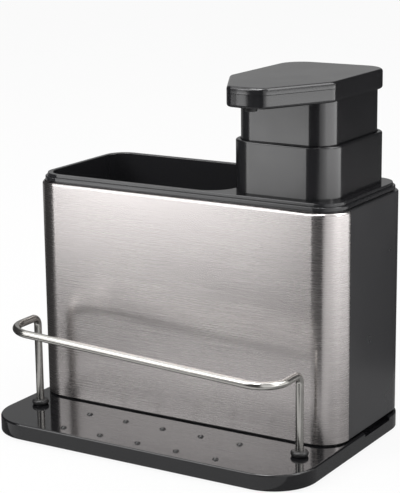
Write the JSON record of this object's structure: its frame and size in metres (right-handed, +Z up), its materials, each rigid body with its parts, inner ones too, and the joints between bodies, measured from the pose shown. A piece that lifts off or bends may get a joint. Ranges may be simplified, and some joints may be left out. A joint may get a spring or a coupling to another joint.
{
  "type": "soap pump caddy",
  "caption": "Sink caddy: drip tray with a wire rail, lift-off steel-fronted housing, lift-out insert with a tool bin, and a soap tank with a square press-down pump.",
  "frame": {"origin": "middle of the tray's footprint, on the surface that it stands on", "axes": "+Z up, +X to the right as seen from the front, -Y towards the front, where the rail and the spout are"},
  "size_m": [0.173, 0.12, 0.1779],
  "materials": {
    "black_plastic": "fine gloss black moulding",
    "satin_black": "satin black moulding",
    "grey_rubber": "matt dark grey rubber",
    "black_rubber": "semi-gloss black rubber",
    "brushed_steel": "stainless steel brushed along its length",
    "polished_wire": "polished stainless wire",
    "smoke_plastic": "dark grey blow-moulded bottle",
    "natural_plastic": "milky undyed plastic",
    "blue_plastic": "soft sealing plastic",
    "seal_rubber": "soft grey sealing rubber",
    "spring_steel": "bright spring wire",
    "ball_steel": "polished ball"
  },
  "bodies": {
    "tray": {"drip_tray": "black_plastic", "tray_feet": "grey_rubber", "rail_grommets": "black_rubber"},
    "rail": {"wire_rail": "polished_wire"},
    "housing": {"housing_shell": "black_plastic", "steel_panel": "brushed_steel"},
    "insert": {"caddy_insert": "black_plastic"},
    "tank": {"soap_tank": "smoke_plastic"},
    "pump_unit": {"pump_collar": "satin_black", "closure_nut": "black_plastic", "neck_gasket": "seal_rubber", "pump_cylinder": "natural_plastic", "cylinder_cap": "natural_plastic", "dip_tube": "natural_plastic", "return_spring": "spring_steel"},
    "plunger": {"head_body": "satin_black", "head_cap": "satin_black", "plunger_sleeve": "satin_black", "spout_tube": "satin_black", "pump_stem": "natural_plastic", "piston": "blue_plastic"},
    "inlet_valve": {"inlet_ball": "ball_steel"},
    "outlet_valve": {"outlet_ball": "ball_steel"}
  },
  "joints": [
    {"name": "rail_pull", "type": "slide", "parent": "tray", "child": "rail", "axis": [0, 0, 1], "range_m": [0, 0.03]},
    {"name": "housing_lift", "type": "slide", "parent": "tray", "child": "housing", "axis": [0, 0, 1], "range_m": [0, 0.04]},
    {"name": "insert_lift", "type": "slide", "parent": "housing", "child": "insert", "axis": [0, 0, 1], "range_m": [0, 0.115]},
    {"name": "tank_lift", "type": "slide", "parent": "insert", "child": "tank", "axis": [0, 0, 1], "range_m": [0, 0.11]},
    {"name": "pump_lift", "type": "slide", "parent": "tank", "child": "pump_unit", "axis": [0, 0, 1], "range_m": [0, 0.12]},
    {"name": "pump_press", "type": "slide", "parent": "pump_unit", "child": "plunger", "axis": [0, 0, -1], "range_m": [0, 0.015], "stiffness_N_per_m": 1000, "springref_m": -0.01, "deforming": ["return_spring"]},
    {"name": "inlet_lift", "type": "slide", "parent": "pump_unit", "child": "inlet_valve", "axis": [0, 0, 1], "range_m": [0, 0.0012]},
    {"name": "outlet_lift", "type": "slide", "parent": "plunger", "child": "outlet_valve", "axis": [0, 0, 1], "range_m": [0, 0.0012]}
  ]
}
